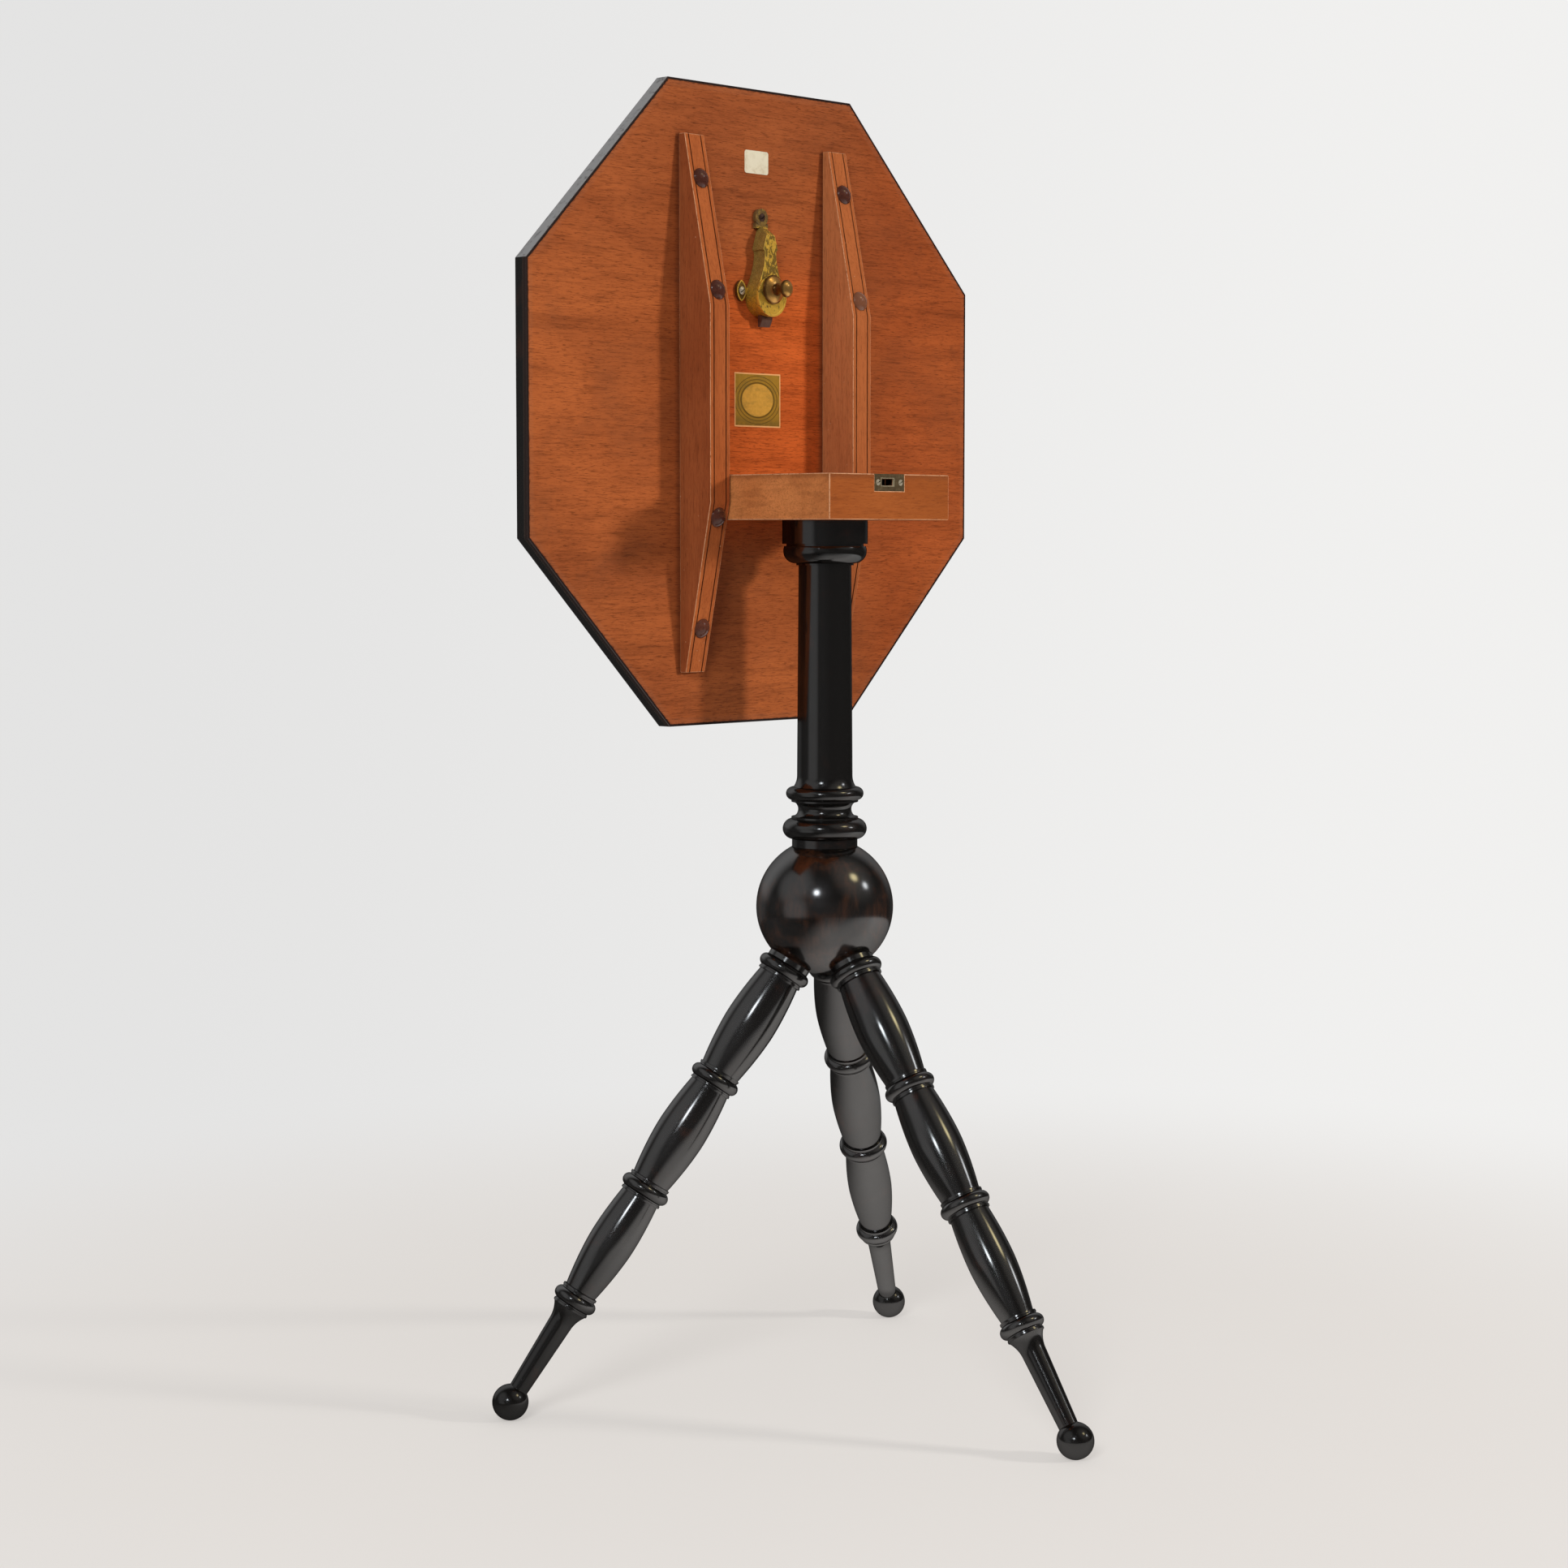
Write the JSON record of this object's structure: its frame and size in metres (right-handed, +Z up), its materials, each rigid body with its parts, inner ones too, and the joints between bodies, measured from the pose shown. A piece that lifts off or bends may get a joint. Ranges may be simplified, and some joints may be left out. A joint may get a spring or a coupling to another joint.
{
  "type": "tilt-top tripod table",
  "caption": "Octagonal tilt-top occasional table on a turned column, ball and splayed tripod legs; the top swings on a pintle block and locks flat with a sprung brass catch.",
  "frame": {"origin": "on the floor, under the middle of the outline of the table with its top raised", "axes": "+Z up along the column; +X along the pivot of the top; the underside of the raised top faces -Y"},
  "size_m": [0.487, 0.4012, 1.0108],
  "materials": {
    "column_ebony": "gloss black ebonised polish, brown where rubbed",
    "ball_ebony": "gloss black ebonised polish, brown where rubbed",
    "leg_ebony": "gloss black ebonised polish, brown where rubbed",
    "edge_ebony": "gloss black ebonised polish",
    "show_ebony": "gloss black ebonised polish, undecorated",
    "block_mahogany": "worn oil finish",
    "board_mahogany": "worn oil finish, mottled",
    "bearer_mahogany": "worn oil finish",
    "button_wood": "satin dark stain",
    "pintle_wood": "bare",
    "case_brass": "lacquered cast brass, tarnished in its sides",
    "strike_brass": "dull, worn bright at the slot",
    "screw_brass": "worn",
    "knob_bronze": "brown lacquer",
    "iron": "dark iron",
    "label_paper": "aged blank paper",
    "label_gilt": "dull gilt paper with a plain border"
  },
  "bodies": {
    "pedestal": {"column": "column_ebony", "ball": "ball_ebony", "leg_front": "leg_ebony", "leg_left": "leg_ebony", "leg_right": "leg_ebony", "pivot_block": "block_mahogany", "tenon_wedge": "block_mahogany", "pintle_left": "pintle_wood", "pintle_right": "pintle_wood", "strike_plate": "strike_brass", "strike_screws": "strike_brass"},
    "top": {"top_board": "board_mahogany", "edge_lipping": "edge_ebony", "show_veneer": "show_ebony", "bearer_left": "bearer_mahogany", "bearer_right": "bearer_mahogany", "bearer_screws": "iron", "bearer_buttons": "button_wood", "catch_case": "case_brass", "catch_back_plate": "case_brass", "catch_screws": "screw_brass", "catch_spring": "iron", "paper_label": "label_paper", "gilt_label": "label_gilt"},
    "bolt": {"catch_bolt": "iron", "catch_knob": "knob_bronze"}
  },
  "joints": [
    {"name": "top_tilt", "type": "hinge", "parent": "pedestal", "child": "top", "pos_m": [0, 0.122, 0.70751], "axis": [1, 0, 0], "range_deg": [0, 90]},
    {"name": "catch_slide", "type": "slide", "parent": "top", "child": "bolt", "axis": [0, 0, 1], "range_m": [0, 0.007], "stiffness_N_per_m": 400, "springref_m": -0.004, "deforming": ["catch_spring"]}
  ]
}
